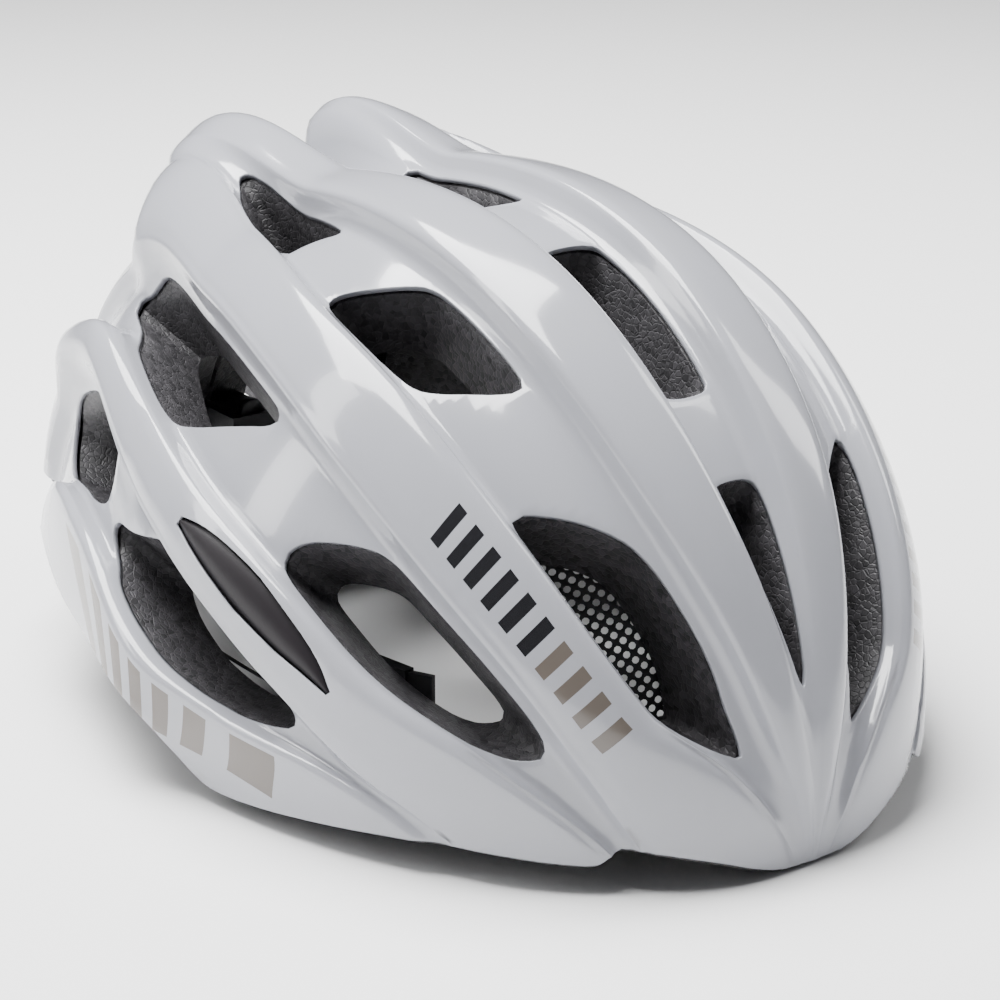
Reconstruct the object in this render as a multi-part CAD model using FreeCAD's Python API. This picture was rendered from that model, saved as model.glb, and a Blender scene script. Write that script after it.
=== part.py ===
import FreeCAD, Part
import math
import os

os.makedirs("parts", exist_ok=True)
Vec = FreeCAD.Vector

# Cycling helmet. The front faces -Y, the wearer's left is +X and up is +Z.
# The origin is on the table under the middle of the helmet, which rests on its brow rim
# and on the rear cradle. Millimetres and degrees.

# Driving dimensions of the hood, a dome described by two angles about a centre:
# "over" runs from the brow (0) over the crown (90) to the nape (180),
# "side" is the lean away from the plane of symmetry, positive to the wearer's left.
HOOD_CENTRE = Vec(0, 0, -2)
FULLNESS = 2.23
SIDE_RADIUS = 105.0
SIDE_SPREAD = 5.0
CREST = [(-20, 137), (20, 145), (60, 147), (100, 145), (140, 156), (180, 147), (220, 130)]
CAVITY = [(-20, 108), (20, 114), (60, 118), (100, 119), (140, 121), (180, 107), (220, 95)]
CAVITY_SIDE = 81.0
SHELL_THICKNESS = 1.3
FOAM_GAP = 0.05
FOAM_EDGE = 1.8
CHANNEL_DEPTH = 7.0
FIN_HEIGHT = 17.0
TRIM_SIDE = 80.0
TRIM_FRONT = -6.0
TRIM_REAR = 186.0

# Rib edges: side angle of each edge at each angle over the head.
Q_IN = [(0, 0.5), (20, 2.2), (40, 4.2), (60, 5.2), (80, 5.8), (100, 6), (180, 6)]
Q_OUT = [(0, 2), (20, 5.6), (40, 10.8), (60, 13.2), (80, 13.6), (100, 12.4), (120, 10.5), (180, 9)]
P_IN = [(0, 10), (20, 17.5), (40, 23.2), (60, 26), (80, 25.8), (100, 20.5), (120, 13), (180, 11)]
P_OUT = [(0, 14), (20, 25), (40, 32), (60, 34.8), (80, 33.6), (100, 29.2), (120, 22.5), (180, 18)]
O_IN = [(0, 26), (20, 37), (40, 45.3), (60, 48.6), (80, 48.2), (100, 43), (120, 33), (180, 26)]
O_OUT = [(0, 36), (20, 48.5), (40, 55.2), (60, 57.4), (80, 56), (100, 51), (120, 39), (180, 33)]
BAND = [(0, 48), (20, 59), (40, 66), (60, 69.5), (80, 69.5), (100, 65.5), (120, 56), (180, 42)]

# Vents of the wearer's left half as (over, side) corners, and the centre vents.
SIDE_VENTS = {
    "crown_rear": [(119, 8.5), (103, 12.5), (91, 14.5), (96, 19.5), (101, 20.5), (113, 15.5)],
    "crown_middle": [(82, 24), (76, 19), (72, 15.5), (58, 15), (55, 17), (58, 21.5), (62, 25)],
    "brow": [(44, 22), (39, 15.5), (31, 11.5), (14, 7.2), (14, 9), (22, 17), (37, 21.5)],
    "side_rear": [(121, 24), (103, 30.5), (87, 34.5), (75, 36.5), (93, 42), (104, 38.5), (115, 33)],
    "temple": [(49, 35.5), (37, 33), (24, 28.5), (18, 26), (17, 29), (24, 37), (34, 43), (57, 45)],
    "low_rear": [(138, 28), (128, 37), (117, 46), (126, 47), (136, 41), (143, 33)],
    "low_side": [(85, 58.5), (60, 60), (36, 57), (29, 56), (36, 63), (60, 68), (87, 68), (110, 61)],
    "rear_exhaust": [(137, 10), (137, 17), (155, 17), (155, 10)],
}
CENTRE_VENTS = {
    "top_rear": [(107, 2.5), (95, 4), (84, 4.2), (84, -4.2), (95, -4), (107, -2.5)],
    "top": [(71, 4), (60, 4.2), (50, 3.4), (50, -3.4), (60, -4.2), (71, -4)],
    "front": [(39, 3.6), (30, 3), (20, 1.6), (20, -1.6), (30, -3), (39, -3.6)],
    "nape": [(134, 5), (160, 5), (160, -5), (134, -5)],
}

# Rim as seen from the side, (y, z): flat under the brow, lowest at the temple, high at the nape.
RIM = [(-138, 0), (-128, 7), (-100, 9.5), (-60, 8), (-34, 7), (-18, 14), (-5, 24), (14, 29),
       (42, 32), (76, 40), (106, 46), (150, 47)]

# Side insert: almond outline on the outer rib.
INSERT = [(31, 47.2), (38, 47.6), (48, 48.6), (60, 49.8), (71, 51.2), (79, 52.6),
          (73, 54), (64, 55.2), (54, 54.8), (44, 52.6), (36, 49.6)]
INSERT_THICKNESS = 3.4
INSERT_PROUD = 0.8

# Soft parts on the cavity wall, as (over from, over to, side from, side to).
PAD_THICKNESS = 5.0
WALL_PADS = {"crown_pad": (92, 128, 6, 13), "side_pad": (40, 63, 27, 33.5)}
NET_PATCH = (14, 48, -27, 27)
NET_THICKNESS = 0.8

# Straps run on the cavity wall, tucked in, through (over, side) places.
STRAP_WIDTH = 15.0
STRAP_THICKNESS = 1.5
STRAP_INSET = 4.0
FRONT_STRAP = [(53, 53), (60, 52), (64.6, 51.2)]
REAR_STRAP = [(126, 50), (112, 51), (100, 50), (92, 49.3)]
CHIN_STRAP = [(77, 39.6), (75, 36), (76, 30), (81, 24.5), (86, 20)]
ANCHORS = [(54, 52.3), (128, 49.8)]
DIVIDER_PLACE = (78, 47)
LEVER_SWING = 75.0

# Buckle under the crown: the straps end level in it.
BUCKLE_CENTRE = Vec(0, -8, 102.5)
BUCKLE_WIDTH = 22.0
BUCKLE_HEIGHT = 8.0
BUCKLE_TRAVEL = 12.0

# Fit system: a flat ring round the head at one height, and the rear cradle.
RING_CENTRE_Y = -4.0
RING_HALF_WIDTH = 74.0
RING_HALF_LENGTH = 101.0
RING_FULLNESS = 2.3
RING_Z = 17.0
BAND_WIDTH = 12.0
BAND_THICKNESS = 1.4
POST = Vec(65.5, -44, 0)
POST_RADIUS = 2.0
POST_FIT = 0.05
LIFT = 12.0
STEM_X = 17.0
CRADLE_Y = 85.0
CRADLE_CURVE = 200.0
HOUSING_HALF = 24.0
HOUSING_FRONT = 87.5
HOUSING_REAR = 106.0
HOUSING_WALL = 1.6
DIAL_RADIUS = 14.0
DIAL_DEPTH = 10.0
SHAFT_RADIUS = 3.0
PINION_RADIUS = 4.7
PINION_TEETH = 12


def smooth_step(start, end, value):
    t = min(max((value - start) / (end - start), 0.0), 1.0)
    return t * t * (3 - 2 * t)


def along(table, value):
    """Smooth value of a table of (angle, number) pairs at an angle."""
    if value <= table[0][0]:
        return table[0][1]
    for i in range(len(table) - 1):
        x0, y0 = table[i]
        x1, y1 = table[i + 1]
        if value <= x1:
            before = table[max(i - 1, 0)]
            after = table[min(i + 2, len(table) - 1)]
            slope0 = (y1 - before[1]) / (x1 - before[0])
            slope1 = (after[1] - y0) / (after[0] - x0)
            t = (value - x0) / (x1 - x0)
            h = x1 - x0
            return ((2 * t**3 - 3 * t**2 + 1) * y0 + (t**3 - 2 * t**2 + t) * h * slope0
                    + (3 * t**2 - 2 * t**3) * y1 + (t**3 - t**2) * h * slope1)
    return table[-1][1]


def dome_point(over, side, height, width):
    """Point of a dome section with the given height and half width, at two angles."""
    a, b = math.radians(over), math.radians(side)
    reach = ((abs(math.sin(b)) / width)**FULLNESS + (math.cos(b) / height)**FULLNESS)**(-1 / FULLNESS)
    h = reach * math.cos(b)
    return HOOD_CENTRE + Vec(reach * math.sin(b), -h * math.cos(a), h * math.sin(a))


def relief(over, side):
    """Height of the outside above the plain hood: channels are negative, rear fins positive."""
    s = abs(side)
    edge = 1.5
    depth = 1 - smooth_step(along(Q_IN, over) - edge, along(Q_IN, over), s)
    for inner, outer in ((Q_OUT, P_IN), (P_OUT, O_IN), (O_OUT, BAND)):
        low, high = along(inner, over), along(outer, over)
        depth += smooth_step(low, low + edge, s) * (1 - smooth_step(high - edge, high, s))
    depth *= smooth_step(2, 26, over)
    fin = smooth_step(96, 124, over) * (1 - smooth_step(126, 134, over))
    fin *= smooth_step(3, 7, s) * (1 - smooth_step(along(P_OUT, over), along(P_OUT, over) + 4, s))
    depth *= 1 - fin
    return FIN_HEIGHT * fin - CHANNEL_DEPTH * depth


def outside(over, side, inset=0.0):
    rise = relief(over, side) - inset
    width = SIDE_RADIUS - SIDE_SPREAD * math.cos(math.radians(2 * over)) + rise
    return dome_point(over, side, along(CREST, over) + rise, width)


def inside(over, side, inset=0.0):
    width = CAVITY_SIDE - 3 * math.cos(math.radians(2 * over)) - inset
    return dome_point(over, side, along(CAVITY, over) - inset, width)


def mirrored(shape):
    return shape.mirror(Vec(0, 0, 0), Vec(1, 0, 0))


def surface_through(rows):
    surface = Part.BSplineSurface()
    surface.interpolate(rows)
    return surface


def skin_between(top, bottom, overs, sides):
    """Closed solid between two point functions of (over, side)."""
    upper = surface_through([[top(o, s) for s in sides] for o in overs])
    lower = surface_through([[bottom(o, s) for s in sides] for o in overs])
    faces = [upper.toShape(), lower.toShape()]
    for pick in (lambda f: f.uIso(f.bounds()[0]), lambda f: f.uIso(f.bounds()[1]),
                 lambda f: f.vIso(f.bounds()[2]), lambda f: f.vIso(f.bounds()[3])):
        faces.append(Part.makeRuledSurface(pick(upper).toShape(), pick(lower).toShape()))
    shell = Part.makeShell(faces)
    shell.sewShape()
    solid = Part.makeSolid(shell)
    if solid.Volume < 0:
        solid.reverse()
    return solid


def steps(start, end, count):
    return [start + (end - start) * i / (count - 1) for i in range(count)]


def polyhedron(faces):
    """Solid from triangles and quads given as point lists."""
    made = []
    for points in faces:
        for i in range(1, len(points) - 1):
            made.append(Part.Face(Part.makePolygon([points[0], points[i], points[i + 1], points[0]])))
    shell = Part.makeShell(made)
    shell.sewShape()
    solid = Part.makeSolid(shell)
    if solid.Volume < 0:
        solid.reverse()
    return solid


def prism(corners, top, bottom):
    """Solid that joins an outline at the top point function to the one at the bottom."""
    high = [top(o, s) for o, s in corners]
    low = [bottom(o, s) for o, s in corners]
    count = len(corners)
    faces = []
    for ring in (high, low):
        centre = sum(ring, Vec(0, 0, 0)) * (1.0 / count)
        faces += [[centre, ring[i], ring[(i + 1) % count]] for i in range(count)]
    for i in range(count):
        j = (i + 1) % count
        faces.append([high[i], high[j], low[j], low[i]])
    return polyhedron(faces)


def ribbon(centres, across, width, thickness, inward):
    """Flat band through centres: across and inward give its two directions at each centre."""
    rings = []
    for p, a, n in zip(centres, across, inward):
        w, t = a * (width / 2), n * (thickness / 2)
        rings.append([p - w - t, p + w - t, p + w + t, p - w + t])
    faces = [rings[0], rings[-1]]
    for r0, r1 in zip(rings, rings[1:]):
        for i in range(4):
            j = (i + 1) % 4
            faces.append([r0[i], r0[j], r1[j], r1[i]])
    return polyhedron(faces)


def unit(v):
    return v * (1.0 / v.Length)


def inward_at(over, side):
    """Direction into the head at a place of the cavity wall."""
    a = inside(over + 1, side) - inside(over - 1, side)
    b = inside(over, side + 1) - inside(over, side - 1)
    n = unit(a.cross(b))
    return n if n.dot(inside(over, side) - HOOD_CENTRE) < 0 else n * -1


def wall_strap(route, inset, width, thickness):
    """Strap along the cavity wall through (over, side) places."""
    places = []
    for (o0, s0), (o1, s1) in zip(route, route[1:]):
        places += [(o0 + (o1 - o0) * k / 4, s0 + (s1 - s0) * k / 4) for k in range(4)]
    places.append(route[-1])
    inward = [inward_at(o, s) for o, s in places]
    centres = [inside(o, s) + n * inset for (o, s), n in zip(places, inward)]
    across = []
    for i, n in enumerate(inward):
        ahead = centres[min(i + 1, len(centres) - 1)] - centres[max(i - 1, 0)]
        across.append(unit(ahead.cross(n)))
    return ribbon(centres, across, width, thickness, inward), centres, across, inward


def wall_frame(over, side, inset):
    """Placement on the cavity wall: x towards the rim, y towards the nape, z into the head."""
    z = inward_at(over, side)
    y = unit(inside(over + 1, side) - inside(over - 1, side))
    x = unit(y.cross(z))
    y = unit(z.cross(x))
    origin = inside(over, side) + z * inset
    matrix = FreeCAD.Matrix(x.x, y.x, z.x, origin.x, x.y, y.y, z.y, origin.y,
                            x.z, y.z, z.z, origin.z, 0, 0, 0, 1)
    return FreeCAD.Placement(matrix)


def box(x0, x1, y0, y1, z0, z1):
    return Part.makeBox(x1 - x0, y1 - y0, z1 - z0, Vec(x0, y0, z0))


def placed(shape, placement):
    result = shape.copy()
    result.Placement = placement.multiply(result.Placement)
    return result


def save(name, *shapes):
    shape = shapes[0] if len(shapes) == 1 else Part.makeCompound(list(shapes))
    for solid in shape.Solids:
        if not solid.isValid() or solid.Volume <= 0:
            print("check", name, solid.isValid(), round(solid.Volume, 1))
    shape.exportStep("parts/" + name + ".step")
    print(name, len(shape.Solids), round(shape.Volume / 1000, 2), "cm3")


# Hood: shell and foam liner, cut by the rim and by the vents.
overs = steps(TRIM_FRONT, TRIM_REAR, 65)
sides = steps(-TRIM_SIDE, TRIM_SIDE, 81)
shell = skin_between(outside, lambda o, s: outside(o, s, SHELL_THICKNESS), overs, sides)
liner = skin_between(lambda o, s: outside(o, s, SHELL_THICKNESS + FOAM_GAP), inside, overs, sides)

rim_curve = Part.BSplineCurve()
rim_curve.interpolate([Vec(0, y, z) for y, z in RIM])
rim_edges = [rim_curve.toShape()]
below = [Vec(0, RIM[-1][0], RIM[-1][1]), Vec(0, 150, -60), Vec(0, -170, -60), Vec(0, -170, 0),
         Vec(0, RIM[0][0], RIM[0][1])]
rim_edges += [Part.LineSegment(a, b).toShape() for a, b in zip(below, below[1:])]
below_rim = Part.Face(Part.Wire(rim_edges)).extrude(Vec(300, 0, 0))
below_rim.translate(Vec(-150, 0, 0))
liner = liner.cut(below_rim)
shell_rim = below_rim.copy()
shell_rim.translate(Vec(0, 0, FOAM_EDGE))
shell = shell.cut(shell_rim)

cutters = []
for corners in SIDE_VENTS.values():
    cutter = prism(corners, lambda o, s: outside(o, s, -30), lambda o, s: inside(o, s, 25))
    cutters += [cutter, mirrored(cutter)]
for corners in CENTRE_VENTS.values():
    cutters.append(prism(corners, lambda o, s: outside(o, s, -30), lambda o, s: inside(o, s, 25)))
for cutter in cutters:
    shell = shell.cut(cutter)
    liner = liner.cut(cutter)

# Side inserts sit in shallow pockets of the shell and the foam.
def insert_outline(scale):
    middle = (55.0, 51.4)
    return [(middle[0] + (o - middle[0]) * scale, middle[1] + (s - middle[1]) * scale)
            for o, s in INSERT]


pocket = prism(insert_outline(1.05), lambda o, s: outside(o, s, -8),
               lambda o, s: outside(o, s, INSERT_THICKNESS + 0.3))
for cutter in (pocket, mirrored(pocket)):
    shell = shell.cut(cutter)
    liner = liner.cut(cutter)
insert = prism(insert_outline(1.0), lambda o, s: outside(o, s, -INSERT_PROUD),
               lambda o, s: outside(o, s, INSERT_THICKNESS))
save("side_insert_left", insert)
save("side_insert_right", mirrored(insert))


# Strap anchors are moulded into the foam.
def wall_block(over, side, size_x, size_y, low, high):
    """Block on the cavity wall: low and high are heights into the head."""
    return placed(box(-size_x / 2, size_x / 2, -size_y / 2, size_y / 2, low, high),
                  wall_frame(over, side, 0))


anchors = []
for over, side in ANCHORS:
    plate = wall_block(over, side, 12, 20, -3.0, -0.6)
    liner = liner.cut(wall_block(over, side, 12.4, 20.4, -3.2, 4))
    liner = liner.cut(mirrored(wall_block(over, side, 12.4, 20.4, -3.2, 4)))
    anchors += [plate, mirrored(plate)]
save("strap_anchors", *anchors)

# Pads and their hook dots.
dots = []
for name, (o0, o1, s0, s1) in WALL_PADS.items():
    pad = skin_between(lambda o, s: inside(o, s, 1.2), lambda o, s: inside(o, s, 1.2 + PAD_THICKNESS),
                       steps(o0, o1, 7), steps(s0, s1, 4))
    save(name + "_left", pad)
    save(name + "_right", mirrored(pad))
    for share in (0.2, 0.8):
        frame = wall_frame(o0 + (o1 - o0) * share, (s0 + s1) / 2, 0.2)
        dot = placed(Part.makeCylinder(5.0, 0.7), frame)
        dots += [dot, mirrored(dot)]
save("hook_dots", *dots)

# Insect net behind the front vents.
net = skin_between(lambda o, s: inside(o, s, 0.6), lambda o, s: inside(o, s, 0.6 + NET_THICKNESS),
                   steps(NET_PATCH[0], NET_PATCH[1], 9), steps(NET_PATCH[2], NET_PATCH[3], 15))
save("insect_net", net)

# Straps, tucked in along the cavity wall.
front_strap = wall_strap(FRONT_STRAP, STRAP_INSET, STRAP_WIDTH, STRAP_THICKNESS)[0]
rear_strap = wall_strap(REAR_STRAP, STRAP_INSET, STRAP_WIDTH, STRAP_THICKNESS)[0]
chin = wall_strap(CHIN_STRAP, STRAP_INSET, STRAP_WIDTH, STRAP_THICKNESS)
chin_centres, chin_across, chin_inward = [list(part) for part in chin[1:]]
side_of_band = Vec(0, 1, 0) if chin_across[-1].y > 0 else Vec(0, -1, 0)
for x in (33, 27, 20, 13):
    chin_centres.append(Vec(x, BUCKLE_CENTRE.y, BUCKLE_CENTRE.z))
    chin_across.append(side_of_band)
    chin_inward.append(Vec(0, 0, -1))
chin_strap = ribbon(chin_centres, chin_across, STRAP_WIDTH, STRAP_THICKNESS, chin_inward)
for name, strap in (("front_strap", front_strap), ("rear_strap", rear_strap), ("chin_strap", chin_strap)):
    save(name + "_left", strap)
    save(name + "_right", mirrored(strap))


def sleeve(first, last, width, thickness):
    """Flat tube round the chin strap between two of its stations."""
    part = slice(first, last + 1)
    outer = ribbon(chin_centres[part], chin_across[part], width, thickness, chin_inward[part])
    longer = slice(first - 1, last + 2)
    hole = ribbon(chin_centres[longer], chin_across[longer], STRAP_WIDTH + 0.8, STRAP_THICKNESS + 0.8,
                  chin_inward[longer])
    return outer.cut(hole)


save("strap_keeper", sleeve(6, 7, 18.5, 5.0))
save("chin_pad", mirrored(sleeve(5, 12, 21, 6.0)))

# Strap dividers with cam levers, one on each side.
divider_frame = wall_frame(*DIVIDER_PLACE, STRAP_INSET - 2.2)
divider = box(-11, 11, -12, 12, 0, 4.4)
divider = divider.cut(box(-9.2, 9.2, -13, -2.6, 0.7, 3.7))
divider = divider.cut(box(-9.2, 9.2, 2.6, 13, 0.7, 3.7))
divider = divider.cut(box(-12, -2.6, -9.2, 9.2, 0.7, 3.7))
for x in (-9.5, 9.5):
    divider = divider.fuse(box(x - 1.5, x + 1.5, -3, 3, 4.4, 9.0))
divider = divider.cut(Part.makeCylinder(1.05, 30, Vec(-15, 0, 7.0), Vec(1, 0, 0)))
lever = box(-7.8, 7.8, 0, 10.5, 5.0, 7.4).fuse(
    Part.makeCylinder(2.0, 15.6, Vec(-7.8, 0, 7.0), Vec(1, 0, 0)))
lever = lever.cut(Part.makeCylinder(1.05, 30, Vec(-15, 0, 7.0), Vec(1, 0, 0)))
lever_pin = Part.makeCylinder(1.0, 22, Vec(-11, 0, 7.0), Vec(1, 0, 0))
for name, shape in (("strap_divider", divider), ("cam_lever", lever), ("lever_pin", lever_pin)):
    left = placed(shape, divider_frame)
    save(name + "_left", left)
    save(name + "_right", mirrored(left))
pin_base = divider_frame.multVec(Vec(0, 0, 7.0))
pin_axis = divider_frame.Rotation.multVec(Vec(1, 0, 0))
print("lever axis", [round(v, 4) for v in (*pin_base, *pin_axis)])

# Buckle: the socket on the left strap, the plug on the right strap.
by, bz = BUCKLE_CENTRE.y, BUCKLE_CENTRE.z
half_w, half_h = BUCKLE_WIDTH / 2, BUCKLE_HEIGHT / 2
socket = box(2, 30, by - half_w, by + half_w, bz - half_h, bz + half_h)
socket = socket.cut(box(1, 21, by - half_w + 2, by + half_w - 2, bz - half_h + 1.6, bz + half_h - 1.6))
socket = socket.cut(box(23, 31, by - 8.2, by + 8.2, bz - 1.4, bz + 1.4))
socket = socket.cut(box(8, 16, by - half_w - 1, by + half_w + 1, bz - 1.6, bz + 1.6))
strap_room = box(9, 24, by - 8.2, by + 8.2, bz - 1.4, bz + 1.4)
socket = socket.cut(strap_room)
save("buckle_socket", socket)
plug = box(-22, 1.7, by - half_w, by + half_w, bz - half_h, bz + half_h)
plug = plug.cut(box(-23, 0.2, by - 8.2, by + 8.2, bz - 1.4, bz + 1.4))
for y0, y1 in ((-8.6, -5.6), (5.6, 8.6)):
    prong = box(1.6, 8.4, by + y0, by + y1, bz - 2.0, bz + 2.0)
    plug = plug.fuse(prong)
save("buckle_plug", plug)


# Fit system ring.
def ring(angle, offset=0.0, z=RING_Z):
    """Point of the head ring: angle 0 at the brow, 180 at the nape."""
    a = math.radians(angle)
    power = 2 / RING_FULLNESS
    x = math.copysign(abs(math.sin(a))**power, math.sin(a))
    y = math.copysign(abs(math.cos(a))**power, math.cos(a))
    return Vec((RING_HALF_WIDTH - offset) * x, RING_CENTRE_Y - (RING_HALF_LENGTH - offset) * y, z)


def level_band(points, width, thickness):
    """Upright band through level points."""
    inward = []
    for i, p in enumerate(points):
        ahead = points[min(i + 1, len(points) - 1)] - points[max(i - 1, 0)]
        inward.append(unit(ahead.cross(Vec(0, 0, 1))))
    return ribbon(points, [Vec(0, 0, 1)] * len(points), width, thickness, inward)


front_band = level_band([ring(a) for a in steps(-56, 56, 29)], BAND_WIDTH, BAND_THICKNESS)
post_low, post_high = RING_Z - BAND_WIDTH / 2 - 3.5, RING_Z + BAND_WIDTH / 2 + LIFT + 3.5
for side in (1, -1):
    end = ring(56 * side)
    x, y = POST.x * side, POST.y
    plate = level_band([ring(52 * side, 1.3, 23), ring(58 * side, 1.3, 23)], 31, 1.6)
    front_band = front_band.fuse(plate)
    for z in (post_low - 0.5, post_high - 2.0):
        lug = Part.makeCylinder(4.0, 2.5, Vec(x, y, z))
        arm = level_band([ring(56.5 * side, 1.3, z + 1.25), Vec(x, y, z + 1.25)], 2.5, 3.0)
        front_band = front_band.fuse(lug).fuse(arm)
    front_band = front_band.cut(Part.makeCylinder(POST_RADIUS, 60, Vec(x, y, 0)))
save("front_headband", front_band)
posts = [Part.makeCylinder(POST_RADIUS, post_high - post_low + 1, Vec(POST.x * k, POST.y, post_low - 0.5))
         for k in (1, -1)]
save("temple_posts", *posts)

brow = level_band([ring(a, 4.4, 18) for a in steps(-46, 46, 25)], 19, PAD_THICKNESS)
save("brow_pad", brow)

studs = []
for angle in (-44, -18, 18, 44):
    foot = ring(angle, -0.95)
    out = unit(ring(angle, -5) - ring(angle, 0))
    stud = Part.makeCylinder(2.6, 11, foot, out)
    liner = liner.cut(Part.makeCylinder(2.7, 12, foot, out))
    studs.append(stud)
save("headband_studs", *studs)

# Side arms turn on the temple posts and end in the racks that the pinion draws together.
arm_angles = steps(82, 156, 20)
left_arm = level_band([POST + Vec(0, 0, RING_Z), Vec(69.4, -32, RING_Z), Vec(71.6, -24, RING_Z)]
                      + [ring(a) for a in arm_angles], BAND_WIDTH, BAND_THICKNESS)
left_arm = left_arm.fuse(Part.makeCylinder(4.0, BAND_WIDTH, POST + Vec(0, 0, RING_Z - BAND_WIDTH / 2)))
left_arm = left_arm.cut(Part.makeCylinder(POST_RADIUS + POST_FIT, 60, POST))
right_arm = mirrored(left_arm)


def rack(side, z):
    angles = steps(150, 179, 8)
    points = [ring(a * side, 0, z) for a in angles]
    points += [Vec(-x * side, points[-1].y, z) for x in (2, 8)]
    return level_band(points, 3.5, BAND_THICKNESS)


left_arm = left_arm.fuse(rack(1, RING_Z + 6.8))
right_arm = right_arm.fuse(rack(-1, RING_Z - 6.8))
save("side_arm_left", left_arm)
save("side_arm_right", right_arm)

# Rear cradle with its two stems, and the guides in the foam that hold them.
cradle_points = [Vec(x, CRADLE_Y - x * x / CRADLE_CURVE, 0) for x in steps(-34, 34, 13)]


def upright(points, low, high, thickness):
    lifted = [Vec(p.x, p.y, (low + high) / 2) for p in points]
    return level_band(lifted, high - low, thickness)


cradle = upright(cradle_points, 6, 28, 2.2)
cradle = cradle.fuse(upright(cradle_points[3:10], 0, 34, 2.2))
guides = []
for side in (1, -1):
    x = STEM_X * side
    stem_y = CRADLE_Y - x * x / CRADLE_CURVE
    cradle = cradle.fuse(box(x - 4.5, x + 4.5, stem_y - 1.1, stem_y + 1.1, 30, 62))
    guide = box(x - 7.5, x + 7.5, stem_y - 3.2, 104, 50, 58)
    guide = guide.cut(box(x - 4.8, x + 4.8, stem_y - 1.5, stem_y + 1.5, 40, 70))
    liner = liner.cut(box(x - 7.7, x + 7.7, stem_y - 3.4, 104.2, 49.8, 58.2))
    guides.append(guide)
save("rear_cradle", cradle)
save("stem_guides", *guides)
for name, side in (("left", 1), ("right", -1)):
    points = [Vec(x * side, CRADLE_Y - 4.2 - x * x / CRADLE_CURVE, 17) for x in steps(12, 32, 5)]
    save("cradle_pad_" + name, level_band(points, 18, PAD_THICKNESS))

# Dial housing: a tray on the cradle, its cover, and the dial with shaft and pinion.
hx, hz0, hz1 = HOUSING_HALF, 3.0, 31.0
wall = HOUSING_WALL
housing = box(-hx, hx, HOUSING_FRONT, HOUSING_REAR - wall, hz0, hz1)
housing = housing.cut(box(-hx + wall, hx - wall, HOUSING_FRONT + wall, HOUSING_REAR, hz0 + wall,
                          hz1 - wall))
housing = housing.cut(box(-hx - 1, hx + 1, HOUSING_FRONT - 1 + wall, HOUSING_REAR - wall - 1.5, 7, 27))
screws = []
for x in (-19, 19):
    for z in (5.6, 28.4):
        boss = Part.makeCylinder(1.9, HOUSING_REAR - wall - HOUSING_FRONT - wall,
                                 Vec(x, HOUSING_FRONT + wall, z), Vec(0, 1, 0))
        housing = housing.fuse(boss)
        housing = housing.cut(Part.makeCylinder(0.9, 12, Vec(x, HOUSING_REAR - 8, z), Vec(0, 1, 0)))
        screw = Part.makeCylinder(0.9, 7, Vec(x, HOUSING_REAR - 7, z), Vec(0, 1, 0))
        screw = screw.fuse(Part.makeCylinder(1.8, 1.2, Vec(x, HOUSING_REAR, z), Vec(0, 1, 0)))
        screws.append(screw)
save("dial_housing", housing)
cover = box(-hx, hx, HOUSING_REAR - wall, HOUSING_REAR, hz0, hz1)
cover = cover.cut(Part.makeCylinder(SHAFT_RADIUS + POST_FIT, 20, Vec(0, 96, RING_Z), Vec(0, 1, 0)))
for screw in screws:
    cover = cover.cut(screw)
save("housing_cover", cover)
save("cover_screws", *screws)
knob_start = HOUSING_REAR + 1.8
knob = Part.makeCylinder(DIAL_RADIUS, DIAL_DEPTH, Vec(0, knob_start, RING_Z), Vec(0, 1, 0))
for i in range(16):
    a = math.radians(i * 22.5)
    spot = Vec((DIAL_RADIUS + 1.2) * math.cos(a), knob_start - 1, RING_Z + (DIAL_RADIUS + 1.2) * math.sin(a))
    knob = knob.cut(Part.makeCylinder(2.0, DIAL_DEPTH + 2, spot, Vec(0, 1, 0)))
ring_room = Part.makeCylinder(9.0, 3.0, Vec(0, knob_start - 0.5, RING_Z), Vec(0, 1, 0))
knob = knob.cut(ring_room)
knob = knob.fuse(Part.makeCylinder(SHAFT_RADIUS, knob_start + 3 - 91, Vec(0, 91, RING_Z), Vec(0, 1, 0)))
knob = knob.cut(Part.makeCylinder(1.0, 14, Vec(0, knob_start + DIAL_DEPTH - 13, RING_Z), Vec(0, 1, 0)))
knob = knob.cut(Part.makeCylinder(2.4, 2.2, Vec(0, knob_start + DIAL_DEPTH - 2, RING_Z), Vec(0, 1, 0)))
save("dial_knob", knob)
screw = Part.makeCylinder(1.0, 11, Vec(0, knob_start + DIAL_DEPTH - 12.8, RING_Z), Vec(0, 1, 0))
screw = screw.fuse(Part.makeCylinder(2.2, 1.6, Vec(0, knob_start + DIAL_DEPTH - 1.9, RING_Z), Vec(0, 1, 0)))
save("dial_screw", screw)
spring = Part.makeCylinder(8.5, 1.2, Vec(0, HOUSING_REAR + 0.1, RING_Z), Vec(0, 1, 0))
spring = spring.cut(Part.makeCylinder(7.0, 4, Vec(0, HOUSING_REAR - 1, RING_Z), Vec(0, 1, 0)))
spring = spring.cut(box(-1.5, 1.5, 100, 112, RING_Z + 5, RING_Z + 10))
save("ratchet_spring", spring)
pinion = Part.makeCylinder(PINION_RADIUS, 11.5, Vec(0, 91.1, RING_Z), Vec(0, 1, 0))
for i in range(PINION_TEETH):
    a = 2 * math.pi * i / PINION_TEETH
    reach = PINION_RADIUS + 0.15
    spot = Vec(reach * math.cos(a), 90, RING_Z + reach * math.sin(a))
    pinion = pinion.cut(Part.makeCylinder(0.7, 14, spot, Vec(0, 1, 0)))
pinion = pinion.cut(Part.makeCylinder(SHAFT_RADIUS, 20, Vec(0, 88, RING_Z), Vec(0, 1, 0)))
save("pinion_gear", pinion)

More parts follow.
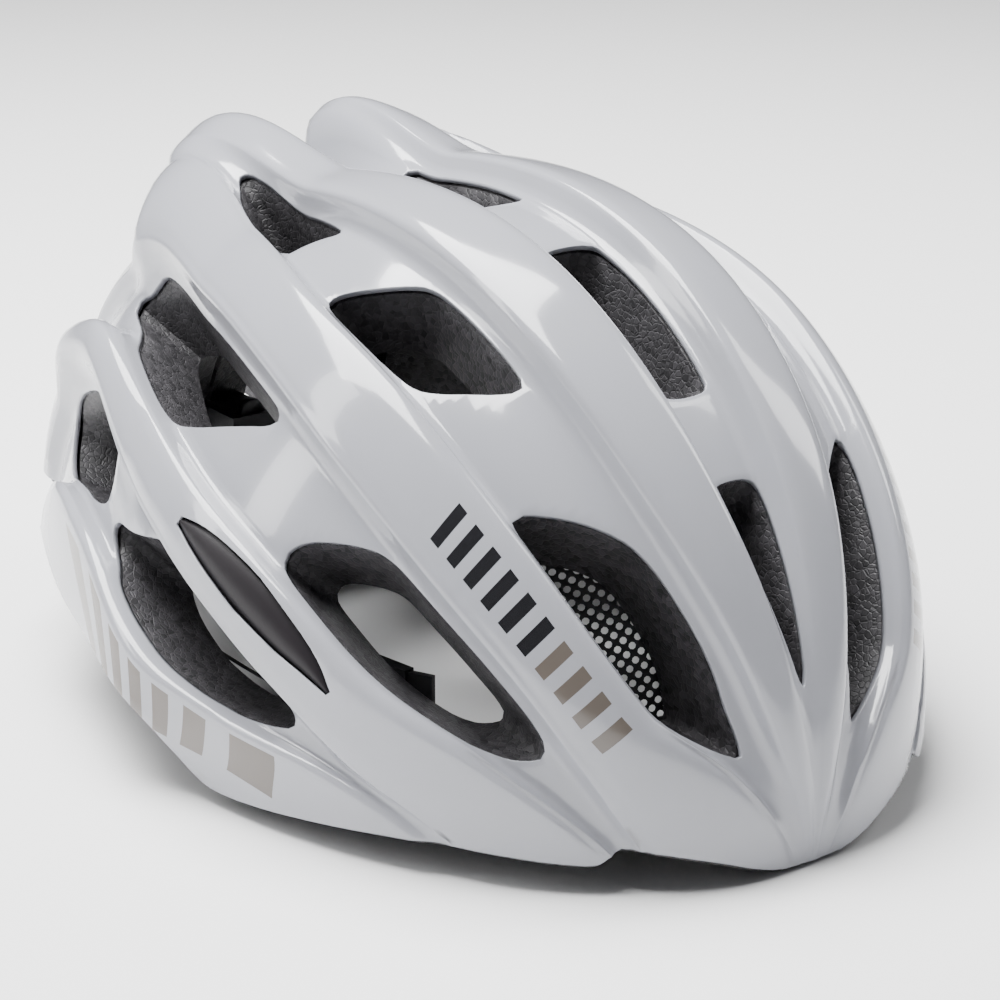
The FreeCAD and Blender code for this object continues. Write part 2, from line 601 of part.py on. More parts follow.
print("shell", shell.isValid(), len(shell.Solids), "liner", liner.isValid(), len(liner.Solids))
save("outer_shell", shell)
save("foam_liner", liner)
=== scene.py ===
import bisect
import math

import bmesh
import bpy
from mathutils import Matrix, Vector


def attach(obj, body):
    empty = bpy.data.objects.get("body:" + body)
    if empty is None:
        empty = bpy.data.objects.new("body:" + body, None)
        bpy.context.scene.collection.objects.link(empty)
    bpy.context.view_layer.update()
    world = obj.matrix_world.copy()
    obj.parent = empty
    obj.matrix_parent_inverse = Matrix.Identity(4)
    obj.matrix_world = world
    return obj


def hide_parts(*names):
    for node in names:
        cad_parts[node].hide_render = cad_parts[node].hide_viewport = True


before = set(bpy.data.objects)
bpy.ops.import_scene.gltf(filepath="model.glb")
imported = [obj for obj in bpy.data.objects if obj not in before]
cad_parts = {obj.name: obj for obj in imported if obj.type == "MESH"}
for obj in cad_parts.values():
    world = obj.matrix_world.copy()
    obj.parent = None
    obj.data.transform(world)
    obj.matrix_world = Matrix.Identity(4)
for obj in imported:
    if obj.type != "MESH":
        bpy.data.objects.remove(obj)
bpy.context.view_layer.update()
scene = bpy.context.scene

# Hood: the dome that both the shell and the foam follow. "over" runs from the brow (0 degrees)
# over the crown (90) to the nape (180), "side" leans from the middle towards the left ear.
# Nine rib edges run from brow to nape, and a lane number counts them: 0 middle, 8 over the ear.
MM = 0.001
HOOD_CENTRE = Vector((0, 0, -2))
FULLNESS = 2.23
BROW_SLACK = 0.17
CREST = [(-20, 137), (20, 145), (60, 147), (100, 145), (140, 156), (180, 147), (220, 130)]
CAVITY = [(-20, 108), (20, 114), (60, 118), (100, 119), (140, 121), (180, 107), (220, 95)]
SIDE_RADIUS = 105.0
SIDE_SPREAD = 5.0
CAVITY_SIDE = 81.0
CAVITY_SPREAD = 3.0
# Rim height by the angle round the head, from the brow (0) to the nape (180).
RIM = [(0, 0), (3.5, 0.2), (7, 2.4), (10, 5), (13.5, 7.4), (17, 9.2), (19.4, 9.9), (20.6, 9.2),
       (22.4, 6.6), (26, 6.6), (32, 7.4), (42.5, 7.6), (56.5, 5.4), (63.5, 4.2), (73, 3.6), (77, 6.5),
       (84, 18), (90, 24), (98, 28), (116, 30.5), (131, 38), (150, 45), (180, 46)]
EDGES = [
    [(0, 0), (180, 0)],
    [(0, 0.1), (8, 0.3), (20, 1.6), (40, 4.0), (60, 5.2), (80, 5.8), (100, 6), (180, 6)],
    [(0, 0.4), (4, 0.9), (10, 2.6), (20, 5.6), (40, 10.8), (60, 13.2), (80, 13.6), (100, 12.4),
     (120, 10.5), (180, 9)],
    [(0, 1.6), (4, 3.4), (9, 6.5), (13, 9.8), (20, 16.6), (40, 23.2), (60, 26), (80, 25.6),
     (100, 20.5), (120, 13), (180, 11)],
    [(0, 14), (6, 18.2), (20, 25), (40, 32), (60, 34.8), (80, 33.6), (100, 29.2), (120, 22.5),
     (180, 18)],
    [(0, 17), (6, 21.5), (18, 32.5), (29, 41), (40, 45.3), (60, 48.6), (80, 48.2), (100, 43),
     (120, 33), (180, 26)],
    [(0, 31), (8, 38), (20, 48), (40, 55.2), (60, 57.4), (80, 56), (100, 50.5), (118, 38.5), (140, 34),
     (180, 33)],
    [(0, 34), (8, 41), (18, 50.5), (29, 60), (40, 65.5), (60, 69.5), (80, 69.5), (100, 65.5),
     (120, 56), (140, 45), (180, 42)],
    [(0, 62), (20, 80), (60, 86), (100, 86), (160, 80), (180, 70)],
]
# Depth of the channels below the rib crests, lane by lane, and the raised tail fins.
CHANNELS = {
    0: [(8, 0), (20, 3.5), (40, 6.5), (70, 7), (105, 6), (125, 9), (180, 8)],
    2: [(2, 0.3), (8, 2), (14, 4.2), (25, 6), (45, 7), (85, 7), (117, 6), (123, 0), (132, 0),
        (138, 5), (180, 5)],
    4: [(3, 1.4), (10, 3), (18, 5), (40, 7), (110, 7), (128, 5), (180, 5)],
    6: [(4, 0.3), (14, 1.6), (28, 4), (50, 6), (110, 6), (180, 4)],
}
# Height of the rear fins by lane, and how far the shell steps down from a rib to a channel.
FIN_HEIGHTS = [(0.35, 0), (0.8, 19.5), (2, 18.5), (3, 14.5), (3.8, 8), (4.3, 0)]
TAIL_HEIGHT = 6.0
EDGE_DROP = 0.9
EDGE_RUN = 3.5
RIB_CROWN = 0.8
WALL_RUN = 4.2
WALL_EASE = 0.1
MM_PER_DEGREE = 2.4


def smooth_step(start, end, value):
    t = min(max((value - start) / (end - start), 0.0), 1.0)
    return t * t * (3 - 2 * t)


def along(table, value):
    """Smooth value of a table of (angle, number) pairs at an angle."""
    if value <= table[0][0]:
        return table[0][1]
    if value >= table[-1][0]:
        return table[-1][1]
    i = bisect.bisect_right(table, (value, float("inf"))) - 1
    x0, y0 = table[i]
    x1, y1 = table[i + 1]
    before = table[max(i - 1, 0)]
    after = table[min(i + 2, len(table) - 1)]
    h = x1 - x0
    t = (value - x0) / h
    slope0 = (y1 - before[1]) / (x1 - before[0])
    slope1 = (after[1] - y0) / (after[0] - x0)
    return ((2 * t**3 - 3 * t**2 + 1) * y0 + (t**3 - 2 * t**2 + t) * h * slope0
            + (3 * t**2 - 2 * t**3) * y1 + (t**3 - t**2) * h * slope1)


def lane_side(lane, over):
    """Side angle of a lane number, with its sign."""
    s = min(abs(lane), 7.9999)
    low = int(s)
    a, b = along(EDGES[low], over), along(EDGES[low + 1], over)
    return math.copysign(a + (b - a) * (s - low), lane)


def wall_drop(near):
    """Share of the channel depth reached at a distance from the rib edge: steep, then filleted."""
    t = min(near / WALL_RUN, 1.0)
    eased = (math.hypot(t, WALL_EASE) - WALL_EASE) / (math.hypot(1, WALL_EASE) - WALL_EASE)
    return 1 - (1 - eased)**2.7


def relief(lane, over):
    """Height above the plain hood: channels are below it, the rear fins above."""
    s = min(abs(lane), 7.9999)
    low = int(s)
    a, b = along(EDGES[low], over), along(EDGES[low + 1], over)
    width = (b - a) * MM_PER_DEGREE
    near_low = (s - low) * width
    near_high = (low + 1 - s) * width
    if low in CHANNELS:
        near = near_high if low == 0 else min(near_low, near_high)
        room = min(1.0, width / 9.0)
        depth = EDGE_DROP + along(CHANNELS[low], over) * room * wall_drop(near)
    else:
        near = near_low if low == 7 else min(near_low, near_high)
        depth = EDGE_DROP * max(0.0, 1 - near / EDGE_RUN)**2
        if low in (3, 5):
            depth += RIB_CROWN * (2 * (s - low) - 1)**2
    end = 124.5 - 3.0 * smooth_step(2.5, 4.0, s)
    fin = smooth_step(101, 123.5, over) * (1 - smooth_step(end, end + 6.5, over))
    share = min(fin, 1.0) * min(along(FIN_HEIGHTS, s) / 10.0, 1.0)
    tail = smooth_step(98, 118, over) * (1 - smooth_step(129, 142, over))
    tail *= smooth_step(4.7, 5.1, s) * (1 - smooth_step(5.9, 6.3, s))
    return along(FIN_HEIGHTS, s) * fin + TAIL_HEIGHT * tail - depth * (1 - 0.85 * share)


def dome_point(over, side, height, width):
    a, b = math.radians(over), math.radians(side)
    full = FULLNESS - BROW_SLACK * (1 - smooth_step(0, 28, over))
    total = (abs(math.sin(b)) / width)**full + (abs(math.cos(b)) / height)**full
    reach = total**(-1 / full)
    h = reach * math.cos(b)
    return HOOD_CENTRE + Vector((reach * math.sin(b), -h * math.cos(a), h * math.sin(a)))


def outside(lane, over, inset=0.0):
    rise = relief(lane, over) - inset
    width = SIDE_RADIUS - SIDE_SPREAD * math.cos(math.radians(2 * over)) + rise
    return dome_point(over, lane_side(lane, over), along(CREST, over) + rise, width)


def inside(over, side, inset=0.0):
    width = CAVITY_SIDE - CAVITY_SPREAD * math.cos(math.radians(2 * over)) - inset
    return dome_point(over, side, along(CAVITY, over) - inset, width)


def rim_height(p):
    return along(RIM, math.degrees(math.atan2(abs(p.x), -p.y)))


# Openings as (over, lane) corners on the left half, mirrored to the right, and the middle ones.
SIDE_OPENINGS = {
    "crown_rear": [(113, 2.35), (109.5, 2.13), (91, 2.13), (95, 2.5), (96.5, 2.96), (107, 2.97),
                   (111, 2.8)],
    "crown_middle": [(80, 2.92), (83, 2.84), (76, 2.3), (73, 2.13), (55.5, 2.13), (56, 2.35),
                     (62, 2.88)],
    "brow": [(43.5, 2.93), (43.5, 2.78), (38.5, 2.3), (34, 2.16), (24, 2.16), (18, 2.26),
             (13.5, 2.46), (13, 2.66), (16, 2.92), (30, 2.93)],
    "side_rear": [(116, 4.12), (78, 4.1), (74, 4.12), (75, 4.25), (89, 4.72), (97, 4.94),
                  (113, 4.94), (122, 4.6), (124.5, 4.35), (119, 4.28)],
    "temple": [(57, 4.92), (58, 4.66), (50, 4.24), (46, 4.12), (30, 4.1), (20, 4.12),
               (17, 4.24), (16.5, 4.55), (18, 4.88), (22, 4.95), (42, 4.95)],
    "low_rear": [(139, 6.2), (135, 6.1), (115, 6.1), (112.5, 6.3), (115, 6.72), (126, 6.88),
                 (139, 6.88)],
    "low_side": [(88, 6.12), (60, 6.08), (33, 6.1), (28.5, 6.3), (28.5, 6.6), (33, 6.9),
                 (47, 6.95), (83, 6.95), (104, 6.96), (113, 6.9), (112, 6.72), (101, 6.45)],
    "rear_exhaust": [(138, 2.15), (138, 2.85), (154, 2.8), (154, 2.2)],
}
MIDDLE_OPENINGS = {
    "top_rear": [(106, 0.74), (84, 0.74), (84, -0.74), (106, -0.74)],
    "top": [(72, 0.7), (49, 0.7), (49, -0.7), (72, -0.7)],
    "front": [(39.5, 0.76), (29, 0.66), (22, 0.5), (18.5, 0.25), (18.5, -0.25), (22, -0.5),
              (29, -0.66), (39.5, -0.76)],
    "nape": [(134, 0.78), (160, 0.78), (160, -0.78), (134, -0.78)],
}
# Side inserts: (over, side) of the upper and the lower edge of the almond.
ALMOND_TOP = [(30.5, 47.1), (38, 47.2), (48, 48.4), (60, 49.6), (71, 50.9), (79.5, 52.4)]
ALMOND_LOW = [(30.5, 47.1), (36, 49.4), (44, 52.2), (55, 54.1), (65, 54.4), (73, 53.7), (79.5, 52.4)]
LANE_SPAN = 22.0
CORNER_CUT = 4.0


def rounded(corners, cut=CORNER_CUT, rounds=3):
    """Closed outline with its corners cut round, at most cut back from each corner."""
    points = corners
    for turn in range(rounds):
        kept = []
        for i, p in enumerate(points):
            q = points[(i + 1) % len(points)]
            share = 0.25 if turn else min(0.33, cut / max((q - p).length, 1e-6))
            kept.append(p.lerp(q, share))
            kept.append(p.lerp(q, 1 - share))
        points = kept
    return points


def flat(lane, over):
    return Vector((lane * LANE_SPAN, over * MM_PER_DEGREE, 0))


def lane_of(side, over):
    """Lane number at a side angle."""
    marks = [along(e, over) for e in EDGES]
    s = abs(side)
    low = max(i for i in range(8) if marks[i] <= s)
    return math.copysign(low + (s - marks[low]) / (marks[low + 1] - marks[low]), side)


def opening_outlines(grow):
    """All vent outlines on the flat pattern, each made larger all round by grow."""
    found = []
    for corners in SIDE_OPENINGS.values():
        for mirror in (1, -1):
            found.append([flat(lane * mirror, over) for over, lane in corners])
    for corners in MIDDLE_OPENINGS.values():
        found.append([flat(lane, over) for over, lane in corners])
    outlines = []
    for points in found:
        smooth = rounded(points)
        middle = sum(smooth, Vector()) / len(smooth)
        outlines.append([p + (p - middle).normalized() * grow for p in smooth])
    return outlines


def almond(over, share):
    """Lane number at a share of the way across the side insert."""
    top, low = along(ALMOND_TOP, over), along(ALMOND_LOW, over)
    return lane_of(top + (low - top) * share, over)


def insert_outlines(grow):
    start, end = ALMOND_TOP[0][0], ALMOND_TOP[-1][0]
    overs = [start + (end - start) * (0.5 - 0.5 * math.cos(math.pi * i / 24)) for i in range(25)]
    outlines = []
    for mirror in (1, -1):
        points = [flat(almond(o, 0) * mirror, o) for o in overs]
        points += [flat(almond(o, 1) * mirror, o) for o in overs[-2:0:-1]]
        middle = sum(points, Vector()) / len(points)
        outlines.append([p + (p - middle).normalized() * grow for p in points])
    return outlines


def is_within(p, outline):
    odd = False
    for i, a in enumerate(outline):
        b = outline[i - 1]
        if (a.y > p.y) != (b.y > p.y) and p.x < a.x + (b.x - a.x) * (p.y - a.y) / (b.y - a.y):
            odd = not odd
    return odd


def nearest_on(p, outline):
    best = None
    for i, a in enumerate(outline):
        b = outline[i - 1]
        t = min(max((p - a).dot(b - a) / max((b - a).length_squared, 1e-9), 0), 1)
        q = a.lerp(b, t)
        if best is None or (q - p).length < (best - p).length:
            best = q
    return best


RIB_STEPS = (0, 0.05, 0.12, 0.22, 0.36, 0.5, 0.64, 0.78, 0.88, 0.95, 1)
CHANNEL_STEPS = (0, 0.02, 0.045, 0.075, 0.11, 0.15, 0.2, 0.28, 0.38, 0.5, 0.62, 0.72, 0.8, 0.85,
                 0.89, 0.925, 0.955, 0.98, 1)
BAND_STEPS = (0, 0.04, 0.1, 0.18, 0.27, 0.36, 0.45, 0.54, 0.63, 0.72, 0.81, 0.9, 1)
MIDDLE_STEPS = (0, 0.2, 0.38, 0.54, 0.68, 0.78, 0.85, 0.91, 0.96, 1)
ROW_START = -4
ROW_END = 176
BROW_ROWS = 12
NAPE_ROWS = 140
EAR_LANES = 5.5
SNAP_REACH = 5.0
RIM_STEP = 4.0
EDGE_WELD = 0.12


def lane_columns():
    half = []
    for lane in range(8):
        steps = RIB_STEPS
        if lane == 0:
            steps = MIDDLE_STEPS
        elif lane == 7:
            steps = BAND_STEPS
        elif lane in CHANNELS:
            steps = CHANNEL_STEPS
        half += [lane + t for t in steps[:-1]]
    half.append(8.0)
    return [-s for s in reversed(half[1:])] + half


def hood_pattern(outlines, lift, row_step):
    """Flat pattern of the hood with its openings and its rim, kept at lift above the rim line."""
    columns = lane_columns()
    bm = bmesh.new()
    across, down = len(columns) - 1, round((ROW_END - ROW_START) / row_step)
    bmesh.ops.create_grid(bm, x_segments=across, y_segments=down, size=1)
    for v in bm.verts:
        i = round((v.co.x + 1) / 2 * across)
        j = round((v.co.y + 1) / 2 * down)
        v.co = flat(columns[i], ROW_START + j * row_step)

    def above_rim(p):
        q = outside(p.x / LANE_SPAN, p.y / MM_PER_DEGREE)
        return q.z - rim_height(q) - lift

    doomed = set()
    for outline in outlines:
        low = Vector((min(p.x for p in outline), min(p.y for p in outline)))
        high = Vector((max(p.x for p in outline), max(p.y for p in outline)))
        for f in bm.faces:
            c = f.calc_center_median()
            if low.x < c.x < high.x and low.y < c.y < high.y and is_within(c, outline):
                doomed.add(f)
    for f in bm.faces:
        c = f.calc_center_median()
        over = c.y / MM_PER_DEGREE
        may_be_low = over < BROW_ROWS or over > NAPE_ROWS or abs(c.x) > EAR_LANES * LANE_SPAN
        if may_be_low and above_rim(c) < 0:
            doomed.add(f)
    bmesh.ops.delete(bm, geom=list(doomed), context="FACES")
    loose = [v for v in bm.verts if not v.link_faces]
    bmesh.ops.delete(bm, geom=loose, context="VERTS")
    edge_verts = [v for v in bm.verts if v.is_boundary]
    fixed = set()
    for v in edge_verts:
        best = None
        for outline in outlines:
            if abs(outline[0].x - v.co.x) < 80 and abs(outline[0].y - v.co.y) < 240:
                q = nearest_on(v.co, outline)
                if best is None or (q - v.co).length < (best - v.co).length:
                    best = q
        if best is not None and (best - v.co).length < SNAP_REACH:
            v.co = best
        else:
            for _ in range(4):
                f0 = above_rim(v.co)
                step = 0.2
                gx = (above_rim(v.co + Vector((step, 0, 0))) - f0) / step
                gy = (above_rim(v.co + Vector((0, step, 0))) - f0) / step
                g = Vector((gx, gy, 0))
                move = g * (-f0 / max(g.length_squared, 1e-6))
                if move.length > RIM_STEP:
                    move = move.normalized() * RIM_STEP
                v.co = v.co + move
        fixed.add(v)
    bmesh.ops.remove_doubles(bm, verts=edge_verts, dist=EDGE_WELD)
    fixed = {v for v in fixed if v.is_valid}
    ring = set(fixed)
    for _ in range(2):
        ring |= {w for v in ring for e in v.link_edges for w in e.verts}
    ring -= fixed
    for _ in range(5):
        bmesh.ops.smooth_vert(bm, verts=list(ring), factor=0.5, use_axis_x=True, use_axis_y=True)
    return bm


def finished(bm, name):
    """Mesh object from a bmesh in millimetres."""
    bmesh.ops.scale(bm, vec=(MM, MM, MM), verts=bm.verts)
    mesh = bpy.data.meshes.new(name)
    bm.to_mesh(mesh)
    bm.free()
    mesh.shade_smooth()
    piece = bpy.data.objects.new(name, mesh)
    scene.collection.objects.link(piece)
    return piece


# Outer shell: white gloss polycarbonate, vacuum formed and moulded in with the foam.
# It is 1.3 mm thick, painted from behind, with printed bars on the ribs and the lower band.
SHELL_WHITE = (0.34, 0.346, 0.378)
PRINT_BLACK = (0.012, 0.012, 0.014)
PRINT_TAUPE = (0.115, 0.097, 0.083)
SHELL_THICKNESS = 1.3
LIP_ROUND = 0.4
FOAM_EDGE = 1.2
MERGE = 0.35


def fit_to_hood(bm):
    """Lays the flat pattern on the hood, keeps each lane place, and thins crowded vertices."""
    place = bm.verts.layers.float_vector.new("lane")
    for v in bm.verts:
        v[place] = (v.co.x / LANE_SPAN, v.co.y / MM_PER_DEGREE, 0)
        v.co = outside(v[place][0], v[place][1])
    edge_verts = [v for v in bm.verts if v.is_boundary]
    bmesh.ops.remove_doubles(bm, verts=edge_verts, dist=3 * MERGE)
    bmesh.ops.remove_doubles(bm, verts=bm.verts, dist=MERGE)
    return place


bm = hood_pattern(opening_outlines(0.0) + insert_outlines(0.35), FOAM_EDGE, 1.0)
place = fit_to_hood(bm)
made = bmesh.ops.extrude_face_region(bm, geom=list(bm.faces), use_keep_orig=True)
under = {v for v in made["geom"] if isinstance(v, bmesh.types.BMVert)}
lips = [e for e in bm.edges if e.verts[0] not in under and e.verts[1] not in under
        and any(w in under for f in e.link_faces for w in f.verts)]
for v in bm.verts:
    v.co = outside(v[place][0], v[place][1], SHELL_THICKNESS if v in under else 0)
bmesh.ops.bevel(bm, geom=lips, offset=LIP_ROUND, offset_type="OFFSET", segments=2, profile=0.5,
                affect="EDGES", material=-1, clamp_overlap=True)
bmesh.ops.recalc_face_normals(bm, faces=bm.faces)
shell = finished(bm, "gloss_shell")
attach(shell, "helmet")
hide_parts("outer_shell")


def new_material(name, color, roughness):
    """Material, its nodes, its links and its shader."""
    material = bpy.data.materials.new(name)
    material.use_nodes = True
    shader = material.node_tree.nodes["Principled BSDF"]
    shader.inputs["Base Color"].default_value = (*color, 1)
    shader.inputs["Roughness"].default_value = roughness
    return material, material.node_tree.nodes, material.node_tree.links, shader


def add_bump(nodes, links, shader, height, strength, distance):
    """Fine relief on the surface from a height, with its depth in metres."""
    bump = nodes.new("ShaderNodeBump")
    bump.inputs["Strength"].default_value = strength
    bump.inputs["Distance"].default_value = distance
    links.new(height, bump.inputs["Height"])
    links.new(bump.outputs["Normal"], shader.inputs["Normal"])


def vary_roughness(nodes, links, shader, value, low, high):
    """Roughness that follows a pattern from low to high."""
    rough = nodes.new("ShaderNodeMapRange")
    rough.inputs["To Min"].default_value = low
    rough.inputs["To Max"].default_value = high
    links.new(value, rough.inputs["Value"])
    links.new(rough.outputs["Result"], shader.inputs["Roughness"])


def math_node(nodes, links, operation, a, b):
    node = nodes.new("ShaderNodeMath")
    node.operation = operation
    for socket, value in zip(node.inputs, (a, b)):
        if isinstance(value, (int, float)):
            socket.default_value = value
        else:
            links.new(value, socket)
    return node.outputs["Value"]


gloss, nodes, links, shader = new_material("white_gloss_shell", SHELL_WHITE, 0.13)
shader.inputs["Coat Weight"].default_value = 0.4
shader.inputs["Coat Roughness"].default_value = 0.03
spot = nodes.new("ShaderNodeAttribute")
spot.attribute_name = "lane"
split = nodes.new("ShaderNodeSeparateXYZ")
links.new(spot.outputs["Vector"], split.inputs["Vector"])
lane_socket = math_node(nodes, links, "ABSOLUTE", split.outputs["X"], 0)
over_socket = split.outputs["Y"]


def between(value, low, high):
    above = math_node(nodes, links, "GREATER_THAN", value, low)
    below = math_node(nodes, links, "LESS_THAN", value, high)
    return math_node(nodes, links, "MULTIPLY", above, below)


def bars(lane_low, lane_high, first, last, period, duty, slant):
    """Mask of slanted bars across a lane, numbered first to last."""
    lean = math_node(nodes, links, "MULTIPLY", lane_socket, slant)
    run = math_node(nodes, links, "ADD", over_socket, lean)
    phase = math_node(nodes, links, "FRACT", math_node(nodes, links, "DIVIDE", run, period), 0)
    stripe = math_node(nodes, links, "LESS_THAN", phase, duty)
    zone = math_node(nodes, links, "MULTIPLY", between(lane_socket, lane_low, lane_high),
                     between(run, first * period, last * period))
    return math_node(nodes, links, "MULTIPLY", stripe, zone)


paint = nodes.new("ShaderNodeMix")
paint.data_type = "RGBA"
paint.inputs["A"].default_value = (*SHELL_WHITE, 1)
paint.inputs["B"].default_value = (*PRINT_BLACK, 1)
links.new(bars(3.26, 3.74, 15, 21, 2.9, 0.5, 4.0), paint.inputs["Factor"])
taupe = nodes.new("ShaderNodeMix")
taupe.data_type = "RGBA"
taupe.inputs["B"].default_value = (*PRINT_TAUPE, 1)
links.new(paint.outputs["Result"], taupe.inputs["A"])
warm = math_node(nodes, links, "MAXIMUM", bars(3.26, 3.74, 11, 15, 2.9, 0.5, 4.0),
                 bars(7.1, 7.52, 13, 20, 16.0, 0.56, 26.0))
links.new(warm, taupe.inputs["Factor"])
links.new(taupe.outputs["Result"], shader.inputs["Base Color"])
object_place = nodes.new("ShaderNodeTexCoord")
haze = nodes.new("ShaderNodeTexNoise")
haze.inputs["Scale"].default_value = 60
haze.inputs["Detail"].default_value = 6
links.new(object_place.outputs["Object"], haze.inputs["Vector"])
vary_roughness(nodes, links, shader, haze.outputs["Fac"], 0.09, 0.17)
add_bump(nodes, links, shader, haze.outputs["Fac"], 0.04, 0.0004)
shell.data.materials.append(gloss)

# Foam liner: black bead foam, moulded into the shell. Its walls show in every vent, and a thin
# edge shows below the shell along the rim. Air channels run along the inside.
INNER_CHANNEL = 2.5
OPENING_TAPER = 0.24
MOUTH_GAP = 0.1
FOAM_SUNK = 0.9
BEAD_SCALE = 640
outlines = opening_outlines(0.25)
bm = hood_pattern(outlines, 0.0, 1.5)
place = fit_to_hood(bm)
mouths = {v for v in bm.verts if v.is_boundary}
narrowed = bm.verts.layers.float_vector.new("narrowed")
for v in bm.verts:
    q = flat(v[place][0], v[place][1])
    if v.is_boundary:
        near = [o for o in outlines if (nearest_on(q, o) - q).length < 1.5]
        if near:
            middle = sum(near[0], Vector()) / len(near[0])
            q = q.lerp(middle, OPENING_TAPER)
    v[narrowed] = (q.x / LANE_SPAN, q.y / MM_PER_DEGREE, 0)
made = bmesh.ops.extrude_face_region(bm, geom=list(bm.faces), use_keep_orig=True)
under = {v for v in made["geom"] if isinstance(v, bmesh.types.BMVert)}
for v in bm.verts:
    lane, over, _ = v[narrowed] if v in under else v[place]
    if v in under:
        s = abs(lane)
        window = max(smooth_step(0.1, 0.4, s % 2) * smooth_step(-0.9, -0.6, -(s % 2)) if s > 2 else 0,
                     1 - smooth_step(0.5, 0.9, s))
        window *= smooth_step(12, 30, over) * (1 - smooth_step(120, 150, over))
        window *= 1 - smooth_step(4.7, 5.2, s)
        p = inside(over, lane_side(lane, over), -INNER_CHANNEL * window)
        p.z = max(p.z, rim_height(p))
        v.co = p
    else:
        v.co = outside(lane, over, SHELL_THICKNESS + (MOUTH_GAP if v in mouths else FOAM_SUNK))
walls = [e for e in bm.edges if (e.verts[0] in under) != (e.verts[1] in under)]
bmesh.ops.subdivide_edges(bm, edges=walls, cuts=3, use_grid_fill=True)
bmesh.ops.recalc_face_normals(bm, faces=bm.faces)
foam = finished(bm, "bead_foam")
foam.data.set_sharp_from_angle(angle=math.radians(50))
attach(foam, "helmet")
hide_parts("foam_liner")
beads, nodes, links, shader = new_material("black_bead_foam", (0.03, 0.03, 0.03), 0.55)
object_place = nodes.new("ShaderNodeTexCoord")
cells = nodes.new("ShaderNodeTexVoronoi")
cells.inputs["Scale"].default_value = BEAD_SCALE
seams = nodes.new("ShaderNodeTexVoronoi")
seams.feature = "DISTANCE_TO_EDGE"
seams.inputs["Scale"].default_value = BEAD_SCALE
links.new(object_place.outputs["Object"], cells.inputs["Vector"])
links.new(object_place.outputs["Object"], seams.inputs["Vector"])
tint = nodes.new("ShaderNodeValToRGB")
tint.color_ramp.elements[0].color = (0.010, 0.0095, 0.011, 1)
tint.color_ramp.elements[1].color = (0.058, 0.055, 0.060, 1)
links.new(cells.outputs["Color"], tint.inputs["Fac"])
links.new(tint.outputs["Color"], shader.inputs["Base Color"])
groove = nodes.new("ShaderNodeValToRGB")
groove.color_ramp.elements[1].position = 0.14
links.new(seams.outputs["Distance"], groove.inputs["Fac"])
add_bump(nodes, links, shader, groove.outputs["Color"], 0.45, 0.0003)
foam.data.materials.append(beads)

# Side inserts: almond caps of dark satin polycarbonate, snapped into a pocket of the outer rib.
# They stand a little proud, domed across, with a crisp edge all round.
INSERT_DOME = 1.5
INSERT_SUNK = 0.5
INSERT_DEPTH = 3.4


def solid_sheet(across, down, place_of, edge_cut):
    """Closed sheet from a grid: place_of(a, b, top) gives each point for a and b from -1 to 1."""
    bm = bmesh.new()
    bmesh.ops.create_grid(bm, x_segments=across, y_segments=down, size=1)
    uv = bm.loops.layers.uv.new("weave")
    for f in bm.faces:
        for corner in f.loops:
            corner[uv].uv = corner.vert.co.xy
    made = bmesh.ops.extrude_face_region(bm, geom=list(bm.faces), use_keep_orig=True)
    under = {v for v in made["geom"] if isinstance(v, bmesh.types.BMVert)}
    rim = [e for e in bm.edges if e.verts[0] not in under and e.verts[1] not in under
           and any(w in under for f in e.link_faces for w in f.verts)]
    for v in bm.verts:
        v.co = place_of(v.co.x, v.co.y, v not in under)
    if edge_cut:
        bmesh.ops.bevel(bm, geom=rim, offset=edge_cut, offset_type="OFFSET", segments=2, profile=0.5,
                        affect="EDGES", material=-1)
    bmesh.ops.remove_doubles(bm, verts=bm.verts, dist=0.02)
    bmesh.ops.recalc_face_normals(bm, faces=bm.faces)
    return bm


satin, nodes, links, shader = new_material("dark_satin_insert", (0.011, 0.009, 0.011), 0.48)
shader.inputs["Specular IOR Level"].default_value = 0.22
object_place = nodes.new("ShaderNodeTexCoord")
fleck = nodes.new("ShaderNodeTexNoise")
fleck.inputs["Scale"].default_value = 900
links.new(object_place.outputs["Object"], fleck.inputs["Vector"])
add_bump(nodes, links, shader, fleck.outputs["Fac"], 0.12, 0.0002)
for name, mirror in (("left", 1), ("right", -1)):
    def insert_place(a, b, top):
        start, end = ALMOND_TOP[0][0], ALMOND_TOP[-1][0]
        over = (start + end) / 2 + (end - start) / 2 * math.sin(a * math.pi / 2)
        rise = INSERT_DOME * (1 - b * b) * math.cos(a * math.pi / 2)**0.5 - INSERT_SUNK
        lane = almond(over, (b + 1) / 2) * mirror
        return outside(lane, over, EDGE_DROP - rise if top else INSERT_DEPTH)

    insert = finished(solid_sheet(48, 12, insert_place, 0.25), "almond_insert_" + name)
    insert.data.set_sharp_from_angle(angle=math.radians(40))
    insert.data.materials.append(satin)
    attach(insert, "helmet")
    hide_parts("side_insert_" + name)

# Pads inside the crown and the ribs: soft foam under black brushed fabric, held by hook dots.
# Each is welded along a seam near its edge.
PAD_RISE = 5.0
PAD_BASE = 1.2
WALL_PADS = {"crown_pad": (92, 128, 6, 13), "side_pad": (40, 63, 27, 33.5)}
fabric, nodes, links, shader = new_material("brushed_pad_fabric", (0.02, 0.02, 0.022), 0.95)
shader.inputs["Sheen Weight"].default_value = 0.35
shader.inputs["Sheen Roughness"].default_value = 0.4
object_place = nodes.new("ShaderNodeTexCoord")
knit = nodes.new("ShaderNodeTexVoronoi")
knit.inputs["Scale"].default_value = 1400
links.new(object_place.outputs["Object"], knit.inputs["Vector"])
fuzz = nodes.new("ShaderNodeTexNoise")
fuzz.inputs["Scale"].default_value = 260
fuzz.inputs["Detail"].default_value = 8
links.new(object_place.outputs["Object"], fuzz.inputs["Vector"])
shade = nodes.new("ShaderNodeValToRGB")
